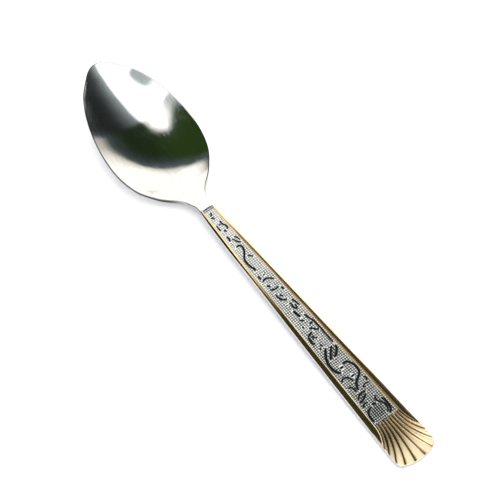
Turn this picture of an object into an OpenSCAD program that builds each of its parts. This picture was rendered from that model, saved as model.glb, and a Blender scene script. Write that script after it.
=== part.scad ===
// Teaspoon with a smooth steel bowl and a flat, flaring handle.  The handle carries a sunk
// panel with a raised scroll, a bevelled border each side and a fluted shell at the end.
// Millimetres, +Z up, lying on a table: +X runs from the bowl's tip towards the handle's end.

/* [Overall] */
// Overall length, bowl tip to the middle of the end arc
length = 142; // [120:1:200]
// Length of bowl and neck together, up to the crossbars
shank_x = 52; // [44:0.5:60]

/* [Bowl] */
// Greatest width across the rim
bowl_w = 27.5; // [22:0.5:36]
// How deep the bowl is below its rim at the deepest place
bowl_depth = 5.8; // [4:0.1:10]
// Height of the rim at the tip when the spoon lies on a table
tip_z = 13.3; // [8:0.1:18]
// Sheet thickness of the bowl
sheet_t = 0.9; // [0.6:0.05:1.5]
// How much the cross-section flattens towards the rim (0 is a parabola)
bowl_flare = 0.13; // [0:0.01:0.2]

/* [Handle] */
// Width across the handle at the crossbars
neck_w = 4.34; // [3:0.1:8]
// Width across the handle at the shell's corners
end_w = 12.04; // [8:0.1:20]
// Thickness of the steel blank under the relief
blank_t = 1.5; // [0.8:0.05:2]
// Height of the handle's edge line at the crossbars
neck_z = 4.6; // [3.5:0.05:9]

/* [Relief] */
// Height of the panel's ground above the blank
ground_h = 0.15; // [0.05:0.05:0.4]
// Height of the border's ridge above the blank
ridge_h = 0.5; // [0.2:0.05:0.8]
// Height of the scroll above the ground
scroll_h = 0.22; // [0.1:0.02:0.4]
// How far along the handle the shell starts, from the crossbars
shell_x = 76.4; // [60:0.5:84]
// Flutes in the shell
flutes = 9; // [5:2:13]
// How far the end arc bulges past its corners
end_bulge = 1.5; // [0:0.1:4]

/* [Hidden] */
$fn = 24;

handle_dx = length - shank_x;
tilt = atan((neck_z - blank_t) / handle_dx);
handle_l = handle_dx / cos(tilt);
bowl_end = 45.5;
hw = bowl_w / 2;

// Tables run along the spoon: [distance, value].  w2 holds squared half-widths of the outline.
w2_tab = [for (p = [[0, 0], [3, 5.08], [7, 8.57], [12, 11.1], [18, 12.88], [24, 13.75], [30, 13.65],
                    [36, 12.11], [41, 8.83], [45, 4.63], [49, 2.37], [52, 2.17]])
          [p[0], pow(p[0] < 45 ? p[1] * hw / 13.75 : p[1] * neck_w / 4.34, 2)]];
rim_tab = [[0, tip_z], [8, tip_z - 1.68], [18, tip_z - 4.54], [30, 5.8], [42, 4], [48, 4.06], [52, neck_z]];
in_tab = [for (p = [[0, 0], [3, 0.42], [8, 0.82], [14, 1], [20, 0.99], [29, 0.865], [36, 0.62],
                    [41, 0.34], [45, 0.15], [48, 0.03]]) [p[0], p[1] * bowl_depth]];
depth_in = concat(in_tab, [[50, -0.2], [52, -ridge_h + 0.02]]);
depth_out = concat([for (i = [0:7]) in_tab[i]], [[45, 1.3], [48, 0.8], [50, 0.33], [52, 0]]);
thick_tab = [[0, sheet_t], [32, sheet_t], [40, sheet_t + 0.1], [46, blank_t], [52, blank_t]];
lean_tab = [[0, 0], [45, 0], [46, 0.3], [52, tilt]];

function slope(t, i) = let(a = max(i - 1, 0), b = min(i + 1, len(t) - 1))
    (t[b][1] - t[a][1]) / (t[b][0] - t[a][0]);
function seg(t, x, i = 0) = (i >= len(t) - 2 || x < t[i + 1][0]) ? i : seg(t, x, i + 1);
function curve(t, x) = let(i = seg(t, x), h = t[i + 1][0] - t[i][0], u = (x - t[i][0]) / h,
    a = t[i][1], b = t[i + 1][1], m = slope(t, i) * h, n = slope(t, i + 1) * h)
    a * (1 + 2 * u) * pow(1 - u, 2) + m * u * pow(1 - u, 2) + b * u * u * (3 - 2 * u) - n * u * u * (1 - u);
function half_w(x) = sqrt(max(0.02, curve(w2_tab, x)));

// One closed slice of the bowl or neck: across the top from -Y to +Y, then back underneath.
N = 22;
function across(j) = sin(90 * (2 * j / N - 1));
function slice(x) = let(w = half_w(x), zr = curve(rim_tab, x), di = curve(depth_in, x),
    do = curve(depth_out, x), t = curve(thick_tab, x), a = curve(lean_tab, x))
    [for (k = [0:2 * N + 1]) let(up = k <= N, s = across(up ? k : 2 * N + 1 - k),
        c = (1 - s * s) * (1 - bowl_flare * s * s), z = up ? -di * c : -do * c - t)
        [x + z * sin(a) - length / 2, w * s, zr + z * cos(a)]];

// Skin a list of equal slices into one closed solid.
module loft(s) {
    m = len(s[0]); n = len(s); h = m / 2;
    pts = [for (r = s) for (p = r) p];
    side = [for (i = [0:n - 2]) for (k = [0:m - 1]) let(a = i * m + k, b = i * m + (k + 1) % m)
            for (f = [[a, b, b + m], [a, b + m, a + m]]) f];
    first = [for (k = [0:h - 2]) for (f = [[k, m - 1 - k, m - 2 - k], [k, m - 2 - k, k + 1]]) f];
    last = [for (f = first) [f[0] + (n - 1) * m, f[2] + (n - 1) * m, f[1] + (n - 1) * m]];
    polyhedron(pts, concat(side, first, last), convexity = 8);
}

// Distances along the bowl, closer together near the tip.
bowl_xs = [for (i = [0:34]) let(u = i / 34) bowl_end * (0.28 * u + 0.72 * u * u)];
neck_xs = [for (i = [0:8]) bowl_end + (shank_x - bowl_end) * i / 8];

// Places a child drawn in the handle's own frame: x along it from the crossbars, z = 0 on
// top of the blank.
module on_handle() { translate([shank_x - length / 2, 0, neck_z]) rotate([0, tilt, 0]) children(); }

k_end = (end_w - neck_w) / 7.7;
hw_tab = [for (p = [[0, 0], [5, 0.45], [13, 0.9], [26, 1.32], [42, 2.05], [60, 2.8], [76, 3.42], [92, 4.1]])
          [p[0], neck_w / 2 + p[1] * k_end]];
pw_tab = [[0, 1.5], [10, 1.78], [20, 2.15], [40, 2.85], [60, 3.45], [shell_x, 3.9]];
// Stations along the handle, the last on the shell's start
hs = [0, 2.5, 5, 9, 13, 20, 27, 35, 43, 51, 60, 68, shell_x];
// End arc: how far along the handle it lies at a fraction u of the half-width
function end_x(u) = handle_l - end_bulge * u * u - 1.1 * pow(abs(u), 14);
fan = [for (i = [0:28]) sin(90 * (i / 14 - 1))];
function fan_edge(u) = [end_x(u), u * (curve(hw_tab, end_x(0.93)) - 0.25 * pow(abs(u), 20))];
// Edge of the panel, which sweeps out across the border once the shell begins
// How fast the flute lines spread apart past the shell's start
fan_rate = 0.0142;
function spread(x) = 1 + fan_rate * pow(max(0, x - shell_x), 2);
function panel_w(x) = curve(pw_tab, min(x, shell_x)) * spread(x);
// Where the flute line that starts g from the middle meets the end arc, as a fraction of its
// half-width w
function arc_u(g, w, u = 0.6, n = 8) =
    n == 0 ? u : arc_u(g, w, (u + min(1, g * spread(end_x(u)) / w)) / 2, n - 1);
shell_cross = shell_x + 5.9;
he = [for (i = [1:6]) shell_x + (shell_cross - shell_x) * i / 6];

module core_plan() {
    polygon(concat([for (x = concat(hs, he)) [x, curve(hw_tab, x)]],
                   [for (i = [28:-1:0]) fan_edge(fan[i])],
                   [for (i = [len(hs) + 5:-1:0]) let(x = concat(hs, he)[i]) [x, -curve(hw_tab, x)]]));
}

module bowl() { color("silver") loft([for (x = bowl_xs) slice(x)]); }

module neck() { color("gainsboro") loft([for (x = neck_xs) slice(x)]); }

module handle_core() {
    color("lightgray") on_handle() translate([0, 0, -blank_t]) linear_extrude(blank_t) core_plan();
}

// Sunk ground of the panel, the full width between the two borders
module relief_panel() {
    ps = concat([1.1], [for (i = [1:len(hs) - 1]) hs[i]]);
    color("darkgray") on_handle() linear_extrude(ground_h)
        polygon(concat([for (x = ps) [x, panel_w(x)]],
                       [for (i = [len(ps) - 1:-1:0]) [ps[i], -panel_w(ps[i])]]));
}

// Bevelled border: a narrow inner ridge and a broad outer slope, dying out where the shell
// sweeps across it.  side is 1 or -1.
module border(side) {
    xs = concat(hs, he);
    s = [for (x = xs) let(w = curve(hw_tab, x), p = min(panel_w(x), w - 0.05), b = w - p,
              r = p + min(0.12, b / 3))
         [for (q = side > 0
               ? [[p, ground_h + 0.05], [r, ridge_h], [(w + r) / 2, ridge_h * 0.72], [w, 0.08], [w, 0],
                  [(w + r) / 2, 0], [r, 0], [p, 0]]
               : [[w, 0.08], [(w + r) / 2, ridge_h * 0.72], [r, ridge_h], [p, ground_h + 0.05], [p, 0],
                  [r, 0], [(w + r) / 2, 0], [w, 0]])
          [x, side * q[0], q[1]]]];
    color("goldenrod") on_handle() loft(s);
}

module border_left() { border(-1); }

module border_right() { border(1); }

// Two fine bars across the head of the panel
module neck_bars() {
    w = panel_w(0) - 0.02;
    color("dimgray") on_handle() for (x = [0.05, 0.6]) translate([x, -w, 0]) cube([0.35, 2 * w, 0.3]);
}

// Scroll lines: [width, points along each line]
scroll = [
    [0.34, [[71, 2.3], [72, 2.7], [73.5, 2.8], [75, 2.4], [75.8, 1.4]]],
    [0.34, [[71.8, -1.1], [72, -2.2], [72.6, -2.9], [73.5, -3.2], [75.6, -3.25]]],
    [0.28, [[69.5, 1.6], [70.5, 1.1], [71.5, 1.2], [72.5, 1.9], [73.7, 2.1], [74.8, 1.7], [75.2, 1.1]]],
    [0.4, [[71.5, 0.5], [71.4, -0.3], [71.1, -0.8]]],
    [0.3, [[70.3, -1.1], [70, -2], [70.3, -2.6], [71, -3.1]]],
    [0.28, [[67.4, 0.4], [67.1, -0.8], [67.6, -2], [68.4, -2.9]]],
    [0.28, [[67.9, 0.1], [68.6, -1], [69.1, -2.2], [69.1, -3.1]]],
    [0.38, [[58, 0.3], [57.8, 1.1], [58.1, 1.8], [59, 2.4], [60, 2.7], [61.2, 2.7], [62.2, 2.4], [62.9, 1.7],
            [63.5, 0.7], [64.3, -0.2], [65.2, -0.7], [66.2, -0.9]]],
    [0.7, [[61.7, 0.4], [62.3, 0.4]]],
    [0.7, [[58.2, -0.4], [58.9, -0.4]]],
    [0.28, [[62.2, -2.8], [61.6, -2.7], [61.3, -2], [61.6, -1.2], [62.4, -0.6], [63.5, -0.5]]],
    [0.28, [[64.3, -2.9], [64.4, -2.2], [65, -1.8], [66.4, -1.7]]],
    [0.26, [[63.8, 2.2], [64.2, 2.8], [64.9, 2.7], [65, 2.2]]],
    [0.2, [[66, 2.8], [65.7, 2], [65.7, 1.3], [66.1, 0.6], [66.6, 1.3]]],
    [0.44, [[51.7, -0.2], [52.3, -0.8], [53.5, -1.7], [54.8, -2.3], [56, -2.6], [57.5, -2.6], [59, -2.3],
            [59.8, -1.4]]],
    [0.38, [[52.3, 2.3], [53.2, 2.1], [54.1, 1.4], [54.8, 0.6], [55.1, -0.2]]],
    [0.34, [[52, 1.4], [52.8, 0.6], [53.7, -0.2], [54.6, -0.9], [55.3, -1.5]]],
    [0.26, [[40.5, 1.2], [42, 1.6], [43.5, 2.05], [46, 2.3], [49, 2.35], [51.5, 2.35]]],
    [0.24, [[46.3, 1.9], [46, 1.1], [45.2, 0.5], [44.8, -0.4]]],
    [0.2, [[43.9, 1.7], [43.6, 0.6]]],
    [0.28, [[45.9, 0], [46.1, -1], [46.6, -1.8], [47.5, -2.2], [48.6, -2.35], [49.1, -2], [48.8, -1.4]]],
    [0.26, [[46.9, -1], [47.4, -0.9], [48.2, -0.2]]],
    [0.24, [[50, -1], [50.5, -0.7], [51, -0.4]]],
    [0.26, [[51.3, -1.2], [51.3, -1.9]]],
    [0.4, [[43.6, -1], [43.6, -1.6]]],
    [0.46, [[38.2, -0.5], [39.5, -0.2], [40.8, 0]]],
    [0.24, [[42.3, 0.3], [41.8, -0.4], [41.2, -0.9]]],
    [0.24, [[35.7, 0.1], [36.4, 0.5], [37.2, 0.3], [37.9, 0.5], [38, 0.9], [37.3, 1.2], [36.7, 1.1]]],
    [0.24, [[35.1, 1.4], [36.3, 1.75], [37.9, 2]]],
    [0.42, [[35.8, -0.8], [36.2, -0.8]]],
    [0.28, [[31.5, -1.1], [32.5, -1.2], [33.7, -0.9], [34.3, -0.1], [34.4, 0.6]]],
    [0.22, [[32.2, -0.4], [32.8, -0.1], [33.4, 0.2]]],
    [0.24, [[30.6, 1.5], [31.1, 1.5], [31.7, 1.8]]],
    [0.24, [[30.1, 1.1], [30.3, 0.2], [30.2, -0.8], [29.7, -1.7]]],
    [0.24, [[26.8, -1.8], [26.5, -1], [26.4, -0.2], [26.9, 0.6], [27.4, 1.1], [27.9, 1.4]]],
    [0.24, [[24.5, -1.6], [25.9, -1.5]]],
    [0.34, [[28.1, -1.4], [28.7, -1.1], [28.8, -0.6]]],
    [0.3, [[24.9, -0.1], [25.4, 0]]],
    [0.3, [[14.3, -1], [14.2, -0.2], [14.5, 0.3], [15.2, 0.5], [16.3, 0.1], [17.2, -0.5], [18.2, -1.2],
            [19, -1.5], [20, -1.5], [21.5, -1.3], [22.4, -1], [22.9, -1.4]]],
    [0.2, [[17.8, 0], [18.5, 0.6], [19.1, 1.1]]],
    [0.24, [[10, -1.1], [11, -0.9], [12, -1.2]]],
    [0.2, [[11.5, -0.4], [12.3, 0.1], [13.2, 0.5], [13.7, 1.2]]],
    [0.18, [[11.2, 0.5], [12, 1.1], [13, 1.3]]],
    [0.2, [[5, 0.4], [6.3, 0.4], [7, 0.8], [7.8, 0.9], [8.5, 0.6]]],
    [0.18, [[8, -0.5], [9, 0]]],
    [0.2, [[1.5, -0.1], [2.2, -0.2], [2.7, -0.9]]],
    [0.18, [[3.3, -1.2], [3.3, -0.6], [4, -0.3]]],
    [0.18, [[5.7, -1.2], [6.8, -1.25], [8, -1.2]]],
    [0.18, [[6, 0], [6.2, -0.7]]]
];

// A smooth line through the points and its outline, tapering at both ends
function at(p, t) = let(i = min(floor(t), len(p) - 2), u = t - i, a = p[max(i - 1, 0)], b = p[i],
    c = p[i + 1], d = p[min(i + 2, len(p) - 1)])
    ((2 * b) + (c - a) * u + (2 * a - 5 * b + 4 * c - d) * u * u + (3 * b - a - 3 * c + d) * u * u * u) / 2;
module line(w, p) {
    n = 2 * (len(p) - 1);
    e = 0.05;
    q = [for (i = [0:n]) let(t = i / 2, d = at(p, min(t + e, n / 2)) - at(p, max(t - e, 0)),
          k = (i == 0 || i == n) ? 0.3 : 0.5) [at(p, t), w * k * [-d[1], d[0]] / norm(d)]];
    polygon(concat([for (r = q) r[0] + r[1]], [for (i = [n:-1:0]) q[i][0] - q[i][1]]));
}

module scroll_relief() {
    color("slategray") on_handle() translate([0, 0, ground_h]) for (s = scroll)
        linear_extrude(scroll_h) line(s[0], s[1]);
}

// Fluted shell: rows of points from the panel's end to the end arc, spreading as they go
module shell_terminal() {
    nu = 72;
    nv = 14;
    flute = function(f) abs(sin(90 * flutes * (f + 1)));
    s = [for (i = [0:nu]) let(f = 2 * i / nu - 1) f];
    y0 = panel_w(shell_x);
    w = curve(hw_tab, 86) * 0.985;
    // where the flute line that starts at f reaches the outline
    reach = function(f) let(g = abs(f) * y0) g < 0.02 ? end_x(0) :
        min(shell_x + sqrt(max(0, w / g - 1) / fan_rate), end_x(arc_u(g, w)));
    pt = function(f, v) let(x = shell_x + v * (reach(f) - shell_x)) [x, f * y0 * spread(x)];
    rows = [for (v = [0:nv]) let(t = v / nv)
        concat([for (f = s) concat(pt(f, t), [0.12 + 0.36 * flute(f) * (0.35 + 0.65 * t)])],
               [for (i = [nu:-1:0]) concat(pt(s[i], t), [0])])];
    color("gold") on_handle() loft(rows);
}

bowl();
neck();
handle_core();
relief_panel();
scroll_relief();
border_left();
border_right();
neck_bars();
shell_terminal();
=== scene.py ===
import math
import bmesh
import bpy
import numpy as np
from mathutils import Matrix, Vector


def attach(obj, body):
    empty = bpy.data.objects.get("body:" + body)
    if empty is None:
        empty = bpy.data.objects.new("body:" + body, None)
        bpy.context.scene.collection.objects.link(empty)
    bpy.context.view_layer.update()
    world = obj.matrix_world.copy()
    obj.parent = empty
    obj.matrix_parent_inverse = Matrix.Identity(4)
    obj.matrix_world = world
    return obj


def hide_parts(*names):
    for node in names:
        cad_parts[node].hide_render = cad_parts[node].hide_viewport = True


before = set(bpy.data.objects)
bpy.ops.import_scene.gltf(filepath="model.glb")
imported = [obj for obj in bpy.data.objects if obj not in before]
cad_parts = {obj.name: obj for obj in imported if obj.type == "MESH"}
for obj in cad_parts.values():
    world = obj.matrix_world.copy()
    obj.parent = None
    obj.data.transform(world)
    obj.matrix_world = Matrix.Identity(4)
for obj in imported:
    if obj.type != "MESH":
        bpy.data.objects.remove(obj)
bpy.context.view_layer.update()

# ---------------------------------------------------------------- sizes shared with the CAD, in mm
MM = 0.001
LENGTH = 142.0
SHANK = 52.0                # from the tip to the start of the ornament
NECK_Z = 4.6                # height of the handle's face at its start
BLANK_T = 1.5               # thickness of the handle under its ornament
TILT = math.atan((NECK_Z - BLANK_T) / (LENGTH - SHANK))
HANDLE_L = (LENGTH - SHANK) / math.cos(TILT)
GROUND_H = 0.15             # heights of the relief over the blank
RIDGE_H = 0.5
SCROLL_H = 0.22
SHELL_X = 76.4              # start of the shell, along the handle
FAN_RATE = 0.0142           # how fast the flute lines spread apart past it
TIP_Z = 13.3                # height of the tip
DEPTH = 5.8                 # of the bowl's hollow
FLARE = 0.13                # how much the bowl's wall leans out at the lip

# Tables of the bowl and neck: distance from the tip, then the value there
W2 = [(x, w * w) for x, w in [(0, 0), (3, 5.08), (7, 8.57), (12, 11.1), (18, 12.88), (24, 13.75), (30, 13.65),
                              (36, 12.11), (41, 8.83), (45, 4.63), (49, 2.37), (52, 2.17)]]
RIM = [(0, TIP_Z), (8, TIP_Z - 1.68), (18, TIP_Z - 4.54), (30, 5.8), (42, 4), (48, 4.06), (52, NECK_Z)]
IN = [(x, d * DEPTH) for x, d in [(0, 0), (3, 0.42), (8, 0.82), (14, 1), (20, 0.99), (29, 0.865), (36, 0.62),
                                  (41, 0.34), (45, 0.15), (48, 0.03)]]
DEPTH_IN = IN + [(50, -0.2), (52, 0.02 - RIDGE_H)]
DEPTH_OUT = IN[:8] + [(45, 1.3), (48, 0.8), (50, 0.33), (52, 0)]
THICK = [(0, 0.9), (32, 0.9), (40, 1.0), (46, BLANK_T), (52, BLANK_T)]
LEAN = [(0, 0), (45, 0), (46, math.radians(0.3)), (52, TILT)]
# Tables of the handle: distance from the crossbars, then half the width of the handle or of its panel
HW_TAB = [(0, 2.17), (5, 2.62), (13, 3.07), (26, 3.49), (42, 4.22), (60, 4.97), (76, 5.59), (92, 6.27)]
PW_TAB = [(0, 1.5), (10, 1.78), (20, 2.15), (40, 2.85), (60, 3.45), (SHELL_X, 3.9)]


def curve(table, x):
    """Smooth curve through the table's points: cubics that take the mean slope at each point."""
    t = np.asarray(table, float)
    x = np.asarray(x, float)
    n = len(t)
    before, after = np.maximum(np.arange(n) - 1, 0), np.minimum(np.arange(n) + 1, n - 1)
    slope = (t[after, 1] - t[before, 1]) / (t[after, 0] - t[before, 0])
    i = np.clip(np.searchsorted(t[:, 0], x, side="right") - 1, 0, n - 2)
    h = t[i + 1, 0] - t[i, 0]
    u = (x - t[i, 0]) / h
    return (t[i, 1] * (1 + 2 * u) * (1 - u) ** 2 + slope[i] * h * u * (1 - u) ** 2
            + t[i + 1, 1] * u * u * (3 - 2 * u) - slope[i + 1] * h * u * u * (1 - u))


def smooth_step(t):
    t = np.clip(t, 0, 1)
    return t * t * (3 - 2 * t)


def half_w(x):
    """Half the width of the bowl or neck."""
    return np.sqrt(np.maximum(curve(W2, x), 0.0))


def spread(x):
    """How many times farther apart the flute lines are than at the shell's start."""
    return 1 + FAN_RATE * np.maximum(np.asarray(x, float) - SHELL_X, 0) ** 2


def panel_w(x):
    """Half the width of the panel, and past it of the flute lines that carry on from its edges."""
    x = np.asarray(x, float)
    return curve(PW_TAB, np.minimum(x, SHELL_X)) * spread(x)


def end_x(u):
    """The handle's end arc, u from -1 to 1 across the handle."""
    return HANDLE_L - 1.5 * u * u - 1.1 * np.abs(u) ** 14


# ---------------------------------------------------------------- mesh helpers
def to_world(p):
    """Handle frame (x along, y across, z up from the blank's top) to the shared frame, in metres."""
    p = np.asarray(p, float)
    c, s = math.cos(TILT), math.sin(TILT)
    return np.stack([SHANK - LENGTH / 2 + p[..., 0] * c + p[..., 2] * s, p[..., 1],
                     NECK_Z - p[..., 0] * s + p[..., 2] * c], -1) * MM


def grid_faces(n, m, wrap=False, base=0):
    """Squares over n rows of m points each; wrap closes every row into a ring."""
    i, j = np.meshgrid(np.arange(n - 1), np.arange(m if wrap else m - 1), indexing="ij")
    a = base + i * m + j
    b = base + i * m + (j + 1) % m
    return np.stack([a, b, b + m, a + m], -1).reshape(-1, 4).tolist()


def turned(faces):
    """The same faces seen from the other side."""
    return [f[::-1] for f in faces]


def piece(name, verts, faces, node, material, attrs=None):
    """One visible piece that stands in for a CAD node.  attrs are values per point for its material."""
    me = bpy.data.meshes.new(name)
    me.from_pydata(np.asarray(verts).reshape(-1, 3).tolist(), [], faces)
    me.validate()
    me.update()
    me.polygons.foreach_set("use_smooth", [True] * len(me.polygons))
    for key, val in (attrs or {}).items():
        a = me.attributes.new(key, "FLOAT", "POINT")
        a.data.foreach_set("value", np.asarray(val, np.float32).ravel())
    me.materials.append(material)
    o = bpy.data.objects.new(name, me)
    bpy.context.scene.collection.objects.link(o)
    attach(o, "root")
    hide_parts(*([node] if isinstance(node, str) else node))
    return o


# ---------------------------------------------------------------- materials
def shader(name, **sockets):
    m = bpy.data.materials.new(name)
    m.use_nodes = True
    b = m.node_tree.nodes["Principled BSDF"]
    for k, v in sockets.items():
        b.inputs[k.replace("_", " ")].default_value = v
    return m, m.node_tree, b


def node(t, kind, **props):
    """New node in tree t; each named value is a property of the node or else one of its inputs."""
    n = t.nodes.new(kind)
    for k, v in props.items():
        if hasattr(n, k):
            setattr(n, k, v)
        else:
            n.inputs[k.replace("_", " ")].default_value = v
    return n


def level(v):
    return v, v, v


def ramp(t, fac, stops):
    r = t.nodes.new("ShaderNodeValToRGB")
    e = r.color_ramp.elements
    e[0].position, e[0].color = stops[0][0], (*stops[0][1], 1)
    e[1].position, e[1].color = stops[-1][0], (*stops[-1][1], 1)
    for p, c in stops[1:-1]:
        e.new(p).color = (*c, 1)
    t.links.new(fac, r.inputs["Fac"])
    return r.outputs["Color"]


def brushed(t, scale, stretch, detail=3.0):
    """Fine noise drawn out along the spoon."""
    tc = t.nodes.new("ShaderNodeTexCoord")
    mp = node(t, "ShaderNodeMapping", Scale=stretch)
    nz = node(t, "ShaderNodeTexNoise", Scale=scale, Detail=detail)
    t.links.new(tc.outputs["Object"], mp.inputs["Vector"])
    t.links.new(mp.outputs["Vector"], nz.inputs["Vector"])
    return nz.outputs["Fac"]


def tinted(t, color, other, fac):
    """Colour socket that goes from color to other with fac."""
    mix = node(t, "ShaderNodeMix", data_type="RGBA")
    for socket, v in ((mix.inputs[6], color), (mix.inputs[7], other)):
        if isinstance(v, tuple):
            socket.default_value = (*v, 1)
        else:
            t.links.new(v, socket)
    t.links.new(fac, mix.inputs["Factor"])
    return mix.outputs[2]


def mesh_value(t, name):
    return node(t, "ShaderNodeAttribute", attribute_name=name).outputs["Fac"]


def steel(name, base, rough, streak, bump, edge=None):
    """Polished or satin steel with fine streaks along the spoon.

    The mesh says where the lip's edge is darker."""
    m, t, b = shader(name, Metallic=1.0)
    broad = brushed(t, 900, (0.12, 1.0, 1.0))
    fine = brushed(t, 2600, (0.04, 1.0, 1.0), 2.0)
    color = ramp(t, broad, [(0.3, tuple(c * 0.90 for c in base)), (0.7, base)])
    if edge:
        color = tinted(t, color, edge, mesh_value(t, "edge"))
    t.links.new(color, b.inputs["Base Color"])
    scratches = [(0.3, level(rough * 0.75)), (0.6, level(rough * 1.1)), (0.8, level(rough * 2.6))]
    t.links.new(ramp(t, fine, scratches), b.inputs["Roughness"])
    low = node(t, "ShaderNodeBump", Strength=bump, Distance=0.00005)
    t.links.new(broad, low.inputs["Height"])
    high = node(t, "ShaderNodeBump", Strength=streak, Distance=0.00001)
    t.links.new(fine, high.inputs["Height"])
    t.links.new(low.outputs["Normal"], high.inputs["Normal"])
    t.links.new(high.outputs["Normal"], b.inputs["Normal"])
    return m


def patinated(name, bright, mid, dark, rough, tint=None):
    """Stamped metal.  The mesh says how dark it is, from oxide in its hollows and, on the gilt borders and
    the shell, from painted shade; how matt (frost) and how gilded (gild).
    """
    m, t, b = shader(name)
    speckle = brushed(t, 2600, (1, 1, 1), 4)
    darkening = node(t, "ShaderNodeMath", operation="MULTIPLY_ADD")
    t.links.new(speckle, darkening.inputs[0])
    darkening.inputs[1].default_value = 0.3
    t.links.new(mesh_value(t, "patina_and_painted_shade"), darkening.inputs[2])
    color = ramp(t, darkening.outputs[0], [(0.12, bright), (0.5, mid), (1.0, dark)])
    if tint:
        thin = node(t, "ShaderNodeMath", operation="MULTIPLY")
        for factor in thin.inputs[:2]:
            t.links.new(mesh_value(t, "gild"), factor)
        color = tinted(t, color, tint, thin.outputs[0])
    t.links.new(color, b.inputs["Base Color"])
    duller = ramp(t, darkening.outputs[0], [(0.12, level(rough[0])), (1.0, level(rough[1]))])
    t.links.new(duller, b.inputs["Roughness"])
    bare = ramp(t, mesh_value(t, "frost"), [(0.0, level(1.0)), (1.0, level(0.12))])
    t.links.new(bare, b.inputs["Metallic"])
    grain = node(t, "ShaderNodeBump", Strength=0.15, Distance=0.00002)
    t.links.new(speckle, grain.inputs["Height"])
    t.links.new(grain.outputs["Normal"], b.inputs["Normal"])
    return m


polished = steel("polished_steel", (0.80, 0.79, 0.77), rough=0.08, streak=0.5, bump=0.02,
                 edge=(0.05, 0.05, 0.055))
satin = steel("blank_steel", (0.62, 0.62, 0.63), rough=0.3, streak=0.2, bump=0.06)
ground = patinated("hatched_ground", (0.88, 0.88, 0.86), (0.36, 0.37, 0.35), (0.02, 0.022, 0.02),
                   rough=(0.34, 0.6), tint=(0.90, 0.70, 0.42))
scroll_m = patinated("scroll_steel", (0.88, 0.88, 0.87), (0.12, 0.14, 0.14), (0.010, 0.014, 0.014),
                     rough=(0.25, 0.5))
gilt = patinated("gilt", (1.0, 0.84, 0.56), (0.66, 0.46, 0.24), (0.10, 0.065, 0.03), rough=(0.18, 0.26))

# ---------------------------------------------------------------- bowl and neck
TIP_SPINE = 5.5             # the tip's columns meet the long axis here
SHANK_COLUMNS = 210
SKIN_ROWS = 56
ROUND_IN, ROUND_OUT = 0.24, 0.28    # radii of the lip, inside and outside
ROUND_STEPS = [68, 50, 34, 20, 8, 0]    # degrees round the lip's corner
NECK_FLARE, NECK_FLARE_X, NECK_FLARE_L = 0.27, 35, 8    # the wall leans out more from here to the neck


def skin_height(x, y, inner):
    """Height of the inner or outer skin over (x, y), from the rim plane, in mm."""
    w = np.maximum(half_w(x), 1e-3)
    s2 = np.minimum(np.abs(y) / w, 1.0) ** 2
    flare = FLARE + NECK_FLARE * smooth_step((np.asarray(x) - NECK_FLARE_X) / NECK_FLARE_L)
    c = (1 - s2) * (1 - flare * s2)
    if inner:
        return -curve(DEPTH_IN, x) * c
    return -curve(DEPTH_OUT, x) * c - curve(THICK, x)


def bowl_skin():
    """Inner skin, rounded rim and outer skin, as rows of points that follow the outline."""
    u = np.linspace(0, 1, SHANK_COLUMNS + 1)
    bx = SHANK * (0.1 * u + 0.9 * u ** 2)
    bx = np.concatenate([bx[::-1], bx[1:]])
    by = half_w(bx) * np.sign(np.arange(len(bx)) - SHANK_COLUMNS)
    tx, ty = np.gradient(bx), np.gradient(by)
    ln = np.hypot(tx, ty)
    nx, ny = ty / ln, -tx / ln                       # inward: the outline runs from -Y round the tip to +Y
    nx[[0, -1]], ny[[0, -1]] = 0, (1, -1)
    spine_x = TIP_SPINE + (SHANK - TIP_SPINE) * bx / SHANK
    r_in, r_out = (np.minimum(r, curve(THICK, bx) * 0.32) for r in (ROUND_IN, ROUND_OUT))
    rows = []

    def add(x, y, inner, drop):
        rows.append(np.stack([x, y, skin_height(x, y, inner) + drop], -1))

    to_spine = 1 - np.cos(math.pi / 2 * np.arange(SKIN_ROWS + 1) / SKIN_ROWS)
    arc = np.radians(ROUND_STEPS)
    for f in to_spine[::-1]:
        x0, y0 = bx + nx * r_in, by + ny * r_in
        add(x0 + (spine_x - x0) * f, y0 * (1 - f), True, 0)
    for a in arc:
        f = 1 - math.cos(a)
        add(bx + nx * r_in * f, by + ny * r_in * f, True, -r_in * (1 - math.sin(a)))
    for a in arc[::-1]:
        f = 1 - math.cos(a)
        add(bx + nx * r_out * f, by + ny * r_out * f, False, r_out * (1 - math.sin(a)))
    for f in to_spine:
        x0, y0 = bx + nx * r_out, by + ny * r_out
        add(x0 + (spine_x - x0) * f, y0 * (1 - f), False, 0)
    x, y, z = np.moveaxis(np.array(rows), -1, 0)
    lean = curve(LEAN, x)
    return np.stack([x + z * np.sin(lean) - LENGTH / 2, y, curve(RIM, x) + z * np.cos(lean)], -1) * MM


def lip_edge(skin):
    """1 on the darker edge of the lip, fading to less than half on the polished sides of the shank."""
    edge = np.zeros(skin.shape[:2])
    edge[SKIN_ROWS + 1:SKIN_ROWS + 3] = 0.5
    edge[SKIN_ROWS + 3:SKIN_ROWS + 20] = 1
    from_tip = skin[..., 0] / MM + LENGTH / 2
    return edge * (1 - 0.55 * smooth_step((from_tip - 43) / 4))


def close_seams(o, reach=2e-6):
    """Joins the points that meet on the long axis and turns every face outward."""
    bm = bmesh.new()
    bm.from_mesh(o.data)
    bmesh.ops.remove_doubles(bm, verts=bm.verts, dist=reach)
    bmesh.ops.recalc_face_normals(bm, faces=bm.faces)
    bm.to_mesh(o.data)
    bm.free()
    o.data.polygons.foreach_set("use_smooth", [True] * len(o.data.polygons))


skin = bowl_skin()
close_seams(piece("bowl_and_neck", skin, grid_faces(*skin.shape[:2]), ("bowl", "neck"), polished,
                  attrs={"edge": lip_edge(skin)}))

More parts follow.
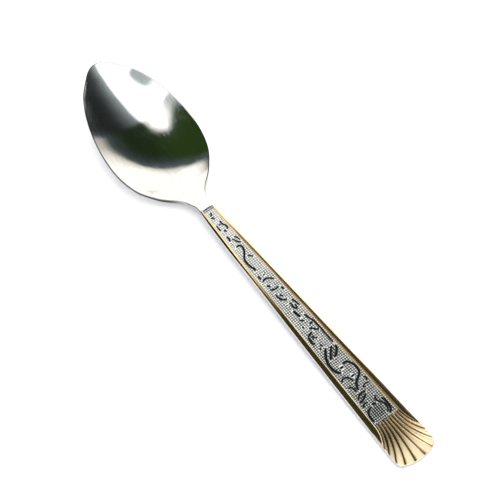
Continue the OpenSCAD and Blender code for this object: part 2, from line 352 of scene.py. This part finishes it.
# ---------------------------------------------------------------- handle outline and blank
# The blank's section from its underside to its top: how far in from the outline, and the height
BLANK_RINGS = [(0.9, -1.5), (0.42, -1.5), (0.26, -1.46), (0.12, -1.36), (0.03, -1.2), (0.0, -1.05), (0, -0.5),
               (0, -0.05), (0.05, 0.0), (0.4, 0.0)]


def outline(step=0.5):
    """Closed outline of the handle in its own frame, anticlockwise from the crossbars' left end."""
    xs = np.arange(0, 86.0, step)
    w = curve(HW_TAB, xs)
    u = np.sin(np.linspace(-math.pi / 2, math.pi / 2, 61))
    w_end = curve(HW_TAB, end_x(0.93)) - 0.25 * np.abs(u) ** 20
    arc = np.stack([end_x(u), u * w_end], -1)
    left = np.stack([xs, -w], -1)
    right = np.stack([xs, w], -1)[::-1]
    return np.concatenate([left, arc, right])


def inset(loop, d):
    """The outline moved inward by d, cut off square at the crossbars."""
    t = np.roll(loop, -1, 0) - np.roll(loop, 1, 0)
    t /= np.linalg.norm(t, axis=1, keepdims=True)
    q = loop + np.stack([-t[:, 1], t[:, 0]], -1) * d
    q[:, 0] = np.maximum(q[:, 0], 0)
    return q


def handle_blank():
    loop = outline()
    m, last = len(loop), (len(BLANK_RINGS) - 1) * len(loop)
    rings = [np.column_stack([inset(loop, d), np.full(m, z)]) for d, z in BLANK_RINGS]
    faces = turned(grid_faces(len(rings), m, True))
    faces += [list(range(m)), list(range(last, last + m))[::-1]]
    return to_world(np.array(rings)), faces


verts, faces = handle_blank()
piece("handle_blank", verts, faces, "handle_core", satin)

# ---------------------------------------------------------------- scroll lines
# Strokes in the handle's frame: width, then the points the stroke runs through
SCROLL = [
    (0.34, [(71, 2.3), (72, 2.7), (73.5, 2.8), (75, 2.4), (75.8, 1.4)]),
    (0.34, [(71.8, -1.1), (72, -2.2), (72.6, -2.9), (73.5, -3.2), (75.6, -3.25)]),
    (0.28, [(69.5, 1.6), (70.5, 1.1), (71.5, 1.2), (72.5, 1.9), (73.7, 2.1), (74.8, 1.7), (75.2, 1.1)]),
    (0.4, [(71.5, 0.5), (71.4, -0.3), (71.1, -0.8)]),
    (0.3, [(70.3, -1.1), (70, -2), (70.3, -2.6), (71, -3.1)]),
    (0.28, [(67.4, 0.4), (67.1, -0.8), (67.6, -2), (68.4, -2.9)]),
    (0.28, [(67.9, 0.1), (68.6, -1), (69.1, -2.2), (69.1, -3.1)]),
    (0.38, [(58, 0.3), (57.8, 1.1), (58.1, 1.8), (59, 2.4), (60, 2.7), (61.2, 2.7), (62.2, 2.4), (62.9, 1.7),
            (63.5, 0.7), (64.3, -0.2), (65.2, -0.7), (66.2, -0.9)]),
    (0.7, [(61.7, 0.4), (62.3, 0.4)]),
    (0.7, [(58.2, -0.4), (58.9, -0.4)]),
    (0.28, [(62.2, -2.8), (61.6, -2.7), (61.3, -2), (61.6, -1.2), (62.4, -0.6), (63.5, -0.5)]),
    (0.28, [(64.3, -2.9), (64.4, -2.2), (65, -1.8), (66.4, -1.7)]),
    (0.26, [(63.8, 2.2), (64.2, 2.8), (64.9, 2.7), (65, 2.2)]),
    (0.2, [(66, 2.8), (65.7, 2), (65.7, 1.3), (66.1, 0.6), (66.6, 1.3)]),
    (0.44, [(51.7, -0.2), (52.3, -0.8), (53.5, -1.7), (54.8, -2.3), (56, -2.6), (57.5, -2.6), (59, -2.3),
            (59.8, -1.4)]),
    (0.38, [(52.3, 2.3), (53.2, 2.1), (54.1, 1.4), (54.8, 0.6), (55.1, -0.2)]),
    (0.34, [(52, 1.4), (52.8, 0.6), (53.7, -0.2), (54.6, -0.9), (55.3, -1.5)]),
    (0.26, [(40.5, 1.2), (42, 1.6), (43.5, 2.05), (46, 2.3), (49, 2.35), (51.5, 2.35)]),
    (0.24, [(46.3, 1.9), (46, 1.1), (45.2, 0.5), (44.8, -0.4)]),
    (0.2, [(43.9, 1.7), (43.6, 0.6)]),
    (0.28, [(45.9, 0), (46.1, -1), (46.6, -1.8), (47.5, -2.2), (48.6, -2.35), (49.1, -2), (48.8, -1.4)]),
    (0.26, [(46.9, -1), (47.4, -0.9), (48.2, -0.2)]),
    (0.24, [(50, -1), (50.5, -0.7), (51, -0.4)]),
    (0.26, [(51.3, -1.2), (51.3, -1.9)]),
    (0.4, [(43.6, -1), (43.6, -1.6)]),
    (0.46, [(38.2, -0.5), (39.5, -0.2), (40.8, 0)]),
    (0.24, [(42.3, 0.3), (41.8, -0.4), (41.2, -0.9)]),
    (0.24, [(35.7, 0.1), (36.4, 0.5), (37.2, 0.3), (37.9, 0.5), (38, 0.9), (37.3, 1.2), (36.7, 1.1)]),
    (0.24, [(35.1, 1.4), (36.3, 1.75), (37.9, 2)]),
    (0.42, [(35.8, -0.8), (36.2, -0.8)]),
    (0.28, [(31.5, -1.1), (32.5, -1.2), (33.7, -0.9), (34.3, -0.1), (34.4, 0.6)]),
    (0.22, [(32.2, -0.4), (32.8, -0.1), (33.4, 0.2)]),
    (0.24, [(30.6, 1.5), (31.1, 1.5), (31.7, 1.8)]),
    (0.24, [(30.1, 1.1), (30.3, 0.2), (30.2, -0.8), (29.7, -1.7)]),
    (0.24, [(26.8, -1.8), (26.5, -1), (26.4, -0.2), (26.9, 0.6), (27.4, 1.1), (27.9, 1.4)]),
    (0.24, [(24.5, -1.6), (25.9, -1.5)]),
    (0.34, [(28.1, -1.4), (28.7, -1.1), (28.8, -0.6)]),
    (0.3, [(24.9, -0.1), (25.4, 0)]),
    (0.3, [(14.3, -1), (14.2, -0.2), (14.5, 0.3), (15.2, 0.5), (16.3, 0.1), (17.2, -0.5), (18.2, -1.2),
           (19, -1.5), (20, -1.5), (21.5, -1.3), (22.4, -1), (22.9, -1.4)]),
    (0.2, [(17.8, 0), (18.5, 0.6), (19.1, 1.1)]),
    (0.24, [(10, -1.1), (11, -0.9), (12, -1.2)]),
    (0.2, [(11.5, -0.4), (12.3, 0.1), (13.2, 0.5), (13.7, 1.2)]),
    (0.18, [(11.2, 0.5), (12, 1.1), (13, 1.3)]),
    (0.2, [(5, 0.4), (6.3, 0.4), (7, 0.8), (7.8, 0.9), (8.5, 0.6)]),
    (0.18, [(8, -0.5), (9, 0)]),
    (0.2, [(1.5, -0.1), (2.2, -0.2), (2.7, -0.9)]),
    (0.18, [(3.3, -1.2), (3.3, -0.6), (4, -0.3)]),
    (0.18, [(5.7, -1.2), (6.8, -1.25), (8, -1.2)]),
    (0.18, [(6, 0), (6.2, -0.7)]),
]
LINE_STEP = 0.08            # between the points of a smoothed stroke


def smooth_line(p):
    """The stroke's points joined by smooth curves through every one of them."""
    p = np.array(p, float)
    before = np.concatenate([[p[0]], p[:-1]])
    out = []
    for i in range(len(p) - 1):
        n = max(3, int(np.linalg.norm(p[i + 1] - p[i]) / LINE_STEP))
        u = (np.arange(n) / n)[:, None]
        a, b, c, d = before[i], p[i], p[i + 1], p[min(i + 2, len(p) - 1)]
        out.append(((2 * b) + (c - a) * u + (2 * a - 5 * b + 4 * c - d) * u * u
                    + (3 * b - a - 3 * c + d) * u ** 3) / 2)
    out.append(p[-1:])
    return np.concatenate(out)


# Width at the foot and smoothed line of every stroke; the slopes at its sides make the foot wider
LINES = [(w * 1.25 + 0.06, smooth_line(p)) for w, p in SCROLL]
# Across a stroke: (side, extra reach in mm, height, patina)
STROKE = [(-1, 0.10, 0.0, 0.1), (-1, 0.03, 0.6, 0.55), (-1, -0.03, 0.9, 1), (-0.4, 0, 1, 1),
          (0.4, 0, 1, 1), (1, -0.03, 0.9, 1), (1, 0.03, 0.6, 0.55), (1, 0.10, 0.0, 0.1)]
SEAT = 0.02                 # the relief's feet sink this far into what carries them


def scroll_mesh():
    """All strokes, tapered and lowered towards their ends."""
    verts, faces, patina_and_painted_shade = [], [], []
    for w, q in LINES:
        t = np.gradient(q, axis=0)
        t /= np.maximum(np.linalg.norm(t, axis=1, keepdims=True), 1e-9)
        across = np.stack([-t[:, 1], t[:, 0]], -1)
        from_end = np.minimum(np.arange(len(q)), np.arange(len(q))[::-1]) * LINE_STEP
        taper = 0.4 + 0.6 * np.minimum(1, from_end / min(0.6, 0.02 * len(q)))
        up = np.minimum(1, from_end / 0.1 + 0.05)
        rows = []
        for k, reach, h, stain in STROKE:
            o = (k * w / 2 * taper + math.copysign(reach, k))[:, None] * across + q
            rows.append(np.column_stack([o, GROUND_H - SEAT + SCROLL_H * h * up]))
            patina_and_painted_shade.append(np.full(len(q), stain))
        faces += turned(grid_faces(len(STROKE), len(q), False, len(verts)))
        verts += np.array(rows).reshape(-1, 3).tolist()
    return verts, faces, np.concatenate(patina_and_painted_shade)


verts, faces, patina_and_painted_shade = scroll_mesh()
piece("scroll_lines", to_world(verts), faces, "scroll_relief", scroll_m,
      attrs={"patina_and_painted_shade": patina_and_painted_shade, "frost": patina_and_painted_shade * 0 + 0.3, "gild": patina_and_painted_shade * 0})

# ---------------------------------------------------------------- hatched ground
# Leaves of the scroll that are filled with shading: middle, half length, half width, turn in degrees
SHADED = [(53.7, 0.5, 2.3, 0.5, -38), (73.6, -0.6, 1.6, 1.7, 0), (68.3, -1.2, 1.3, 0.5, -65),
          (47.4, -1.4, 1.3, 0.6, -40)]
PITCH = 0.62                # of the hatching
CELL = 7                    # mesh squares to one pitch
CUT_DEPTH = 0.07
GROUND_W = 4.2              # half the width of the mesh before it is cut to the panel
FAR = 9.0                   # stands for any distance too large to matter


def from_scroll(gx, gy):
    """Distance of each grid point from the nearest stroke's edge, up to FAR."""
    X, Y = np.meshgrid(gx, gy, indexing="ij")
    dist = np.full(X.shape, FAR)
    for w, q in LINES:
        lo, hi = q.min(0) - 0.8, q.max(0) + 0.8
        i0, i1 = np.searchsorted(gx, [lo[0], hi[0]])
        j0, j1 = np.searchsorted(gy, [lo[1], hi[1]])
        d = np.full((i1 - i0, j1 - j0), FAR)
        for p in q[::2]:
            d = np.minimum(d, np.hypot(X[i0:i1, j0:j1] - p[0], Y[i0:i1, j0:j1] - p[1]))
        dist[i0:i1, j0:j1] = np.minimum(dist[i0:i1, j0:j1], d - w * 0.42)
    return dist


def shaded_leaves(X, Y):
    """1 inside the shaded leaves, 0 outside."""
    leaf = np.zeros(X.shape)
    for cx, cy, lx, ly, turn in SHADED:
        c, s = math.cos(math.radians(turn)), math.sin(math.radians(turn))
        r = np.hypot(((X - cx) * c + (Y - cy) * s) / lx, ((Y - cy) * c - (X - cx) * s) / ly)
        leaf = np.maximum(leaf, np.clip((1.15 - r) / 0.3, 0, 1))
    return leaf


def hatched_ground():
    """Panel cut by two sets of fine lines into little squares, except close to the scroll."""
    step = PITCH / CELL
    gx = np.arange(0.1, SHELL_X + 0.4, step)
    gy = np.arange(-GROUND_W, GROUND_W + step / 2, step)
    X, Y = np.meshgrid(gx, gy, indexing="ij")
    rng = np.random.default_rng(7)
    cells = rng.uniform(0.35, 1.0, (200, 40))        # how dark each square's lines have turned
    cut = np.maximum(np.abs(np.cos(math.pi * X / PITCH)), np.abs(np.cos(math.pi * Y / PITCH)))
    cut = np.clip((cut - 0.70) / 0.14, 0, 1)         # 1 in the cut lines, 0 on the little squares between
    deep = cells[(X / PITCH + 0.5).astype(int), (Y / PITCH + 20.5).astype(int)]
    calm = np.clip((from_scroll(gx, gy) - 0.04) / 0.12, 0, 1)
    Z = GROUND_H - SEAT - CUT_DEPTH * cut * calm
    darkening = smooth_step(X / 42)                       # the cut lines darken away from the head of the panel
    far_half = np.clip((X - 40) / 36, 0, 1)              # and its far half is darker
    stripes = 0.5 + 0.5 * np.cos(2 * math.pi * Y / PITCH)
    patina_and_painted_shade = cut * calm * (0.2 + 0.3 * darkening + 0.3 * deep) + 0.14 * far_half + 0.7 * shaded_leaves(X, Y) * stripes
    frost = 1.0 - 0.3 * far_half - 0.5 * np.clip(patina_and_painted_shade, 0, 1)

    edge = panel_w(np.minimum(gx, SHELL_X))[:, None]
    gild = np.clip(1 - (edge - Y) / (0.7 + 0.3 * far_half), 0, 1) * 0.8
    gild = np.maximum(gild, np.clip(1 - (edge + Y) / 0.4, 0, 1) * np.clip(1 - X / 24, 0, 1))
    gild = np.maximum(gild, 0.6 * smooth_step((X - 75.2) / 1.2) * smooth_step((Y + 1) / 3))

    keep = np.abs(Y) <= edge + 0.12
    whole = keep[:-1, :-1] & keep[1:, :-1] & keep[:-1, 1:] & keep[1:, 1:]
    i, j = np.where(whole)
    a = i * len(gy) + j
    faces = np.stack([a, a + len(gy), a + len(gy) + 1, a + 1], -1)
    used = np.unique(faces)
    place = np.full(X.size, -1)
    place[used] = np.arange(len(used))
    points = to_world(np.stack([X, Y, Z], -1).reshape(-1, 3)[used])
    values = {"patina_and_painted_shade": patina_and_painted_shade, "frost": frost, "gild": gild}
    return points, place[faces].tolist(), {key: v.ravel()[used] for key, v in values.items()}


verts, faces, values = hatched_ground()
piece("hatched_panel", verts, faces, "relief_panel", ground, attrs=values)

# ---------------------------------------------------------------- borders
# For each side: width of the flat shelf together with the bead, and of the bead alone
SHELF = {-1: [(0, 0.4), (20, 0.75), (40, 0.9), (60, 1.2), (SHELL_X, 1.4), (92, 1.4)],
         1: [(0, 0.1), (8, 0.28), (20, 0.52), (40, 0.78), (50, 0.92), (60, 1.15), (70, 1.45), (92, 1.6)]}
BEAD_W = {-1: 0.3, 1: 0.12}
BEAD_H = 0.07
# Across the bead: (place, height from its crest, patina)
BEAD = [(0.1, -0.12, 0.3), (0.3, -0.01, 0), (0.5, 0, 0), (0.75, -0.015, 0), (1, -BEAD_H, 0.25)]
# The fall from the shelf to the handle's edge: (place, share of the height lost)
FALL = [(0.12, 0.05), (0.3, 0.17), (0.5, 0.36), (0.7, 0.58), (0.88, 0.82), (1.0, 1.0)]


def border(side):
    """Surface of one gilded border with its patina and frost.

    Outward from the panel: wall, bead, flat shelf, then the fall to the handle's edge.
    Near the neck the gilding is bright and matt; farther out the shelves are darker. The darker shelves and
    falls are painted shade standing in for the dark room they reflect."""
    xs = np.concatenate([np.arange(0, SHELL_X, 0.4), np.linspace(SHELL_X, SHELL_X + 6.0, 40)])
    w = curve(HW_TAB, xs)
    p = np.minimum(panel_w(xs), w - 0.03)
    k = np.minimum(1, (w - p) / 0.7)                 # the profile shrinks where the border runs out
    crest = (RIDGE_H - 0.04) * k + 0.05 * (1 - k)
    flat = 0 * xs
    # Painted shade: the shelves darken and the falls below them are darker, standing in for the dark room
    # these faces reflect.
    if side < 0:
        shelf_painted_dark = 0.5 * smooth_step((xs - 12) / 34)
        shelf_matt = 0.85 * (1 - smooth_step((xs - 14) / 26))
        rim_painted_dark, rim_matt, bead_matt = flat + 0.55, flat, flat + 0.75
    else:
        shelf_painted_dark = 0.5 * smooth_step((xs - 4) / 8)
        shelf_matt = 0.6 * (1 - smooth_step(xs / 10))
        rim_painted_dark = 0.05 + 0.4 * smooth_step((xs - 55) / 14)
        rim_matt = 0.5 * (1 - smooth_step((xs - 40) / 20))
        bead_matt = flat

    rows = [(p, flat, flat + 0.9, flat), (p, GROUND_H * k, flat + 0.7, flat)]
    bead = BEAD_W[side]
    for t, h, dark in BEAD:
        tone = flat + dark if side < 0 else shelf_painted_dark
        rows.append((p + bead * t * k, crest + h * k, tone, bead_matt * (dark == 0)))
    y0, base = p + bead * k, crest - BEAD_H * k
    y1 = np.minimum(p + np.maximum(curve(SHELF[side], xs) * k, bead * k * 1.1), w - 0.1 * k)
    drop = 0.05 * k
    for t in (0.15, 0.5, 1.0):
        rows.append((y0 + (y1 - y0) * t, base - drop * t * t, shelf_painted_dark, shelf_matt))
    for t, h in FALL:
        rows.append((y1 + (w - y1) * t, (base - drop) * (1 - h * 0.8), rim_painted_dark, rim_matt))
    rows.append((w, flat - SEAT, flat + 0.8, flat))

    points = np.stack([np.stack([xs, side * y, z], -1) for y, z, *_ in rows])
    faces = grid_faces(len(rows), len(xs))
    return points, turned(faces) if side > 0 else faces, {
        "patina_and_painted_shade": np.array([r[2] for r in rows]), "frost": np.array([r[3] for r in rows]),
        "gild": np.zeros(points.shape[:2])}


for side, name in ((-1, "left"), (1, "right")):
    points, faces, values = border(side)
    piece("gilt_border_" + name, to_world(points), faces, "border_" + name, gilt, attrs=values)

# ---------------------------------------------------------------- crossbars
BAR_X, BAR_W, BAR_H = (0.05, 0.6), 0.35, 0.31
BAR_HALF_L, NOTCH_PITCH = 1.5, 0.6
# Across a bar: (place, height, patina)
BAR = [(0, 0, 1), (0.1, 0.6, 1), (0.3, 0.95, 0.9), (0.5, 1, 0.8), (0.7, 0.95, 0.9), (0.9, 0.6, 1), (1, 0, 1)]


def crossbars():
    """Two notched bars across the head of the panel, darkest in the notches."""
    verts, faces, patina_and_painted_shade = [], [], []
    ys = np.linspace(-BAR_HALF_L, BAR_HALF_L, 61)
    notch = 0.75 + 0.25 * np.cos(2 * math.pi * ys / NOTCH_PITCH)
    for x0 in BAR_X:
        faces += turned(grid_faces(len(BAR), len(ys), False, len(verts)))
        for a, h, dark in BAR:
            row = np.column_stack([np.full(len(ys), x0 + a * BAR_W), ys, h * BAR_H * notch])
            verts += row.tolist()
            patina_and_painted_shade.append(np.clip(dark * (3.6 - 3.8 * notch), 0.15, 1))
    return verts, faces, np.concatenate(patina_and_painted_shade)


verts, faces, patina_and_painted_shade = crossbars()
piece("crossbars", to_world(verts), faces, "neck_bars", scroll_m,
      attrs={"patina_and_painted_shade": patina_and_painted_shade, "frost": patina_and_painted_shade * 0 + 0.3, "gild": patina_and_painted_shade * 0})

# ---------------------------------------------------------------- fluted shell
FLUTES, FLUTE_STEPS, SHELL_STEPS = 9, 26, 90
SHELL_W = 0.985 * float(curve(HW_TAB, 86))           # half the shell's width at its corners


def flute_reach(g):
    """How far along the handle the flute line runs that starts g from the middle: side or end arc."""
    side_x = SHELL_X + np.sqrt(np.maximum(0, SHELL_W / g - 1) / FAN_RATE)
    u = np.full(len(g), 0.6)
    for _ in range(12):
        u = (u + np.minimum(1, g * spread(end_x(u)) / SHELL_W)) / 2
    return np.where(g < 0.02, end_x(0.0), np.minimum(side_x, end_x(u)))


def fluted_shell():
    """Flutes that start narrow with broad dark valleys and open into broad matt petals. The thin dark lines
    in the valleys are oxide; the broad darkening round the crests is painted shade.
    """
    f = np.linspace(-1, 1, FLUTES * FLUTE_STEPS + 1)
    y0 = float(panel_w(SHELL_X))
    reach = flute_reach(np.maximum(np.abs(f) * y0, 1e-6))
    v = np.linspace(0, 1, SHELL_STEPS + 1)[:, None]
    X = SHELL_X + v * (reach - SHELL_X)
    Y = f * y0 * spread(X)
    out = np.clip((X - SHELL_X) / (HANDLE_L - SHELL_X), 0, 1)
    hump = np.abs(np.sin(math.pi / 2 * FLUTES * (f + 1)))[None, :]
    Z = 0.12 + 0.36 * hump ** (1.8 - 1.2 * out) * (0.35 + 0.65 * v)
    Z = Z * (1 - 0.55 * np.clip((out - 0.6) / 0.4, 0, 1) ** 2)
    petal = smooth_step((out - 0.27) / 0.6)
    valley = 0.86 - 0.60 * petal
    # Painted shade: darkness falls off from each crest towards the valley, on top of the oxide lines in the
    # valleys.
    patina_and_painted_shade = np.clip((valley - hump) / (0.3 + 0.25 * petal) + 0.45, 0, 1) * (0.78 - 0.03 * petal)
    # Painted shade: the shell's start is darkened all over except its crests, standing in for the dark room
    # its polished gold reflects.
    patina_and_painted_shade = np.maximum(patina_and_painted_shade, 0.3 * (1 - petal) * (hump < 0.95))
    frost = (0.15 + 0.55 * petal) * np.clip((hump - 0.1) / 0.5, 0, 1)
    points = np.stack([X, Y, Z], -1)
    foot = points[-1:] * (1, 1, 0)
    values = {"patina_and_painted_shade": patina_and_painted_shade, "frost": frost, "gild": np.zeros(patina_and_painted_shade.shape)}
    return np.concatenate([points, foot]), {key: np.concatenate([a, a[-1:]]) for key, a in values.items()}


points, values = fluted_shell()
piece("fluted_shell", to_world(points), turned(grid_faces(*points.shape[:2])), "shell_terminal", gilt,
      attrs=values)


# ---------------------------------------------------------------- floor
def add_floor(size):
    """Square white floor, in metres, at the height of the table."""
    material, _, _ = shader("floor_white", Base_Color=(0.93, 0.93, 0.94, 1), Roughness=0.9)
    me = bpy.data.meshes.new("floor")
    a = size / 2
    me.from_pydata([(-a, -a, 0), (a, -a, 0), (a, a, 0), (-a, a, 0)], [], [(0, 1, 2, 3)])
    me.materials.append(material)
    o = bpy.data.objects.new("floor", me)
    bpy.context.scene.collection.objects.link(o)


add_floor(6.0)


# ---------------------------------------------------------------- studio: dark room, big white sheets
def compass(az, el):
    """Unit direction, degrees: azimuth from +X towards +Y, elevation above the table."""
    a, e = math.radians(az), math.radians(el)
    return math.cos(e) * math.cos(a), math.cos(e) * math.sin(a), math.sin(e)


# Colours of the room
WALL, LEAVES = (0.016, 0.030, 0.011), (0.024, 0.052, 0.011)
HAZE, SHEET_FOOT = (0.040, 0.052, 0.058), (0.075, 0.10, 0.105)
CREAM, WHITE, NEAR_WHITE = (0.92, 0.88, 0.78), (1.4, 1.38, 1.34), (1.8, 1.8, 1.78)
GREY_TINT, LAMP_GREY = (0.86, 0.97, 1.0), (0.52, 0.58, 0.60)
# The far sheet is where all three of these lean forward
TOP, LEFT, RIGHT = (-1.34, 0.237, -1.0), (-0.935, -0.057, -0.350), (-0.5, 0.81, -0.309)
# The near sheet's limits
NEAR_RIGHT, NEAR_RIM = (0.906, 0.332, 0.264), (0.799, 0.445, 0.403)
NEAR_TOP, NEAR_FACE = (0.986, -0.166, 0.019), (0.32, -0.945, -0.06)


def studio_world():
    """Light by direction only.

    Each patch is cut out by great circles, as a flat sheet looks from the spoon."""
    w = bpy.data.worlds.new("studio")
    bpy.context.scene.world = w
    w.use_nodes = True
    t = w.node_tree
    way = t.nodes.new("ShaderNodeTexCoord").outputs["Generated"]

    def calc(op, *values):
        n = node(t, "ShaderNodeMath", operation=op)
        for i, v in enumerate(values):
            if isinstance(v, (int, float)):
                n.inputs[i].default_value = v
            else:
                t.links.new(v, n.inputs[i])
        return n.outputs[0]

    def along(v):
        n = node(t, "ShaderNodeVectorMath", operation="DOT_PRODUCT")
        t.links.new(way, n.inputs[0])
        n.inputs[1].default_value = v
        return n.outputs["Value"]

    def side(v, lo, hi):
        """1 where the direction leans towards v by more than hi, 0 below lo."""
        n = node(t, "ShaderNodeMapRange", interpolation_type="SMOOTHSTEP")
        n.inputs["From Min"].default_value, n.inputs["From Max"].default_value = lo, hi
        t.links.new(along(v), n.inputs["Value"])
        return n.outputs["Result"]

    def disc(v, outer, inner):
        """1 within inner degrees of v, 0 beyond outer."""
        return side(v, math.cos(math.radians(outer)), math.cos(math.radians(inner)))

    def lay(under, over, *masks):
        mask = masks[0]
        for k in masks[1:]:
            mask = calc("MULTIPLY", mask, k)
        return tinted(t, under, over, mask)

    # The far side of the room, from its walls to the middle of the far sheet
    room = lay(WALL, LEAVES, side(compass(232, 40), 0.55, 0.95))
    room = lay(room, HAZE, side(TOP, -0.55, -0.2), side(LEFT, -0.20, 0.02),
               side((-0.3, 0.95, 0.0), -0.1, 0.3))
    room = lay(room, SHEET_FOOT, side(TOP, -0.26, -0.05), side(LEFT, -0.10, 0.06), side(RIGHT, -0.26, -0.04))
    room = lay(room, CREAM, side(TOP, -0.05, 0.05), side(LEFT, -0.02, 0.04), side(RIGHT, -0.05, 0.09))
    room = lay(room, WHITE, side(TOP, 0.0, 0.20), side(LEFT, 0.0, 0.12), side(RIGHT, 0.0, 0.15))
    # The near side: a grey wall that fades away to the left, then the near sheet and the lamp's disc
    fade = calc("POWER", calc("MAXIMUM", calc("ADD", along((0.588, -0.809, 0.0)), 0.78), 0.0), 2.3)
    fade = calc("MULTIPLY_ADD", fade, 0.55, 0.025)
    grey = node(t, "ShaderNodeVectorMath", operation="SCALE")
    grey.inputs[0].default_value = GREY_TINT
    t.links.new(fade, grey.inputs["Scale"])
    near_right = side(NEAR_RIGHT, -0.06, 0.015)
    room = lay(room, grey.outputs[0], side((0.99, 0.06, 0.04), -0.05, 0.06), near_right,
               side(NEAR_RIM, -0.045, 0.02))
    room = lay(room, NEAR_WHITE, side(NEAR_FACE, -0.09, 0.10), near_right, side(NEAR_TOP, -0.055, 0.03),
               side(NEAR_RIM, -0.02, 0.03))
    room = lay(room, LAMP_GREY, side(compass(20, 0), -0.03, 0.04), disc(compass(294, 25), 12, 8.5))
    bg = t.nodes["Background"]
    t.links.new(room, bg.inputs["Color"])
    bg.inputs["Strength"].default_value = 1.0


studio_world()


def area(name, az, el, dist, size, power, color):
    """Round lamp aimed at the spoon's middle and hidden from its mirror reflections."""
    l = bpy.data.lights.new(name, "AREA")
    l.shape, l.size, l.energy, l.color = "DISK", size, power, color
    o = bpy.data.objects.new(name, l)
    o.location = Vector(compass(az, el)) * dist
    o.rotation_mode = "QUATERNION"
    o.rotation_quaternion = o.location.to_track_quat("Z", "Y")
    bpy.context.scene.collection.objects.link(o)
    o.visible_glossy = False


area("key", 100, 70, dist=0.9, size=1.2, power=9.5, color=(1.0, 0.99, 0.95))
area("fill", 250, 55, dist=0.9, size=0.9, power=2.2, color=(0.84, 0.82, 1.0))

# ---------------------------------------------------------------- camera
CAMERA_WAY = compass(-37.007, 58.596)
CAMERA_DIST = 0.532567
TARGET = (66.979 - LENGTH / 2, 3.055, 0)             # in mm

cam = bpy.data.objects.new("camera", bpy.data.cameras.new("camera"))
bpy.context.scene.collection.objects.link(cam)
bpy.context.scene.camera = cam
back = Vector(CAMERA_WAY)
cam.location = Vector(TARGET) * MM + back * CAMERA_DIST
cam.rotation_mode = "QUATERNION"
cam.rotation_quaternion = back.to_track_quat("Z", "Y")
cam.data.sensor_width, cam.data.lens = 36.0, 144.0
cam.data.clip_start, cam.data.clip_end = 0.01, 20

bpy.context.scene.view_settings.view_transform = "Standard"
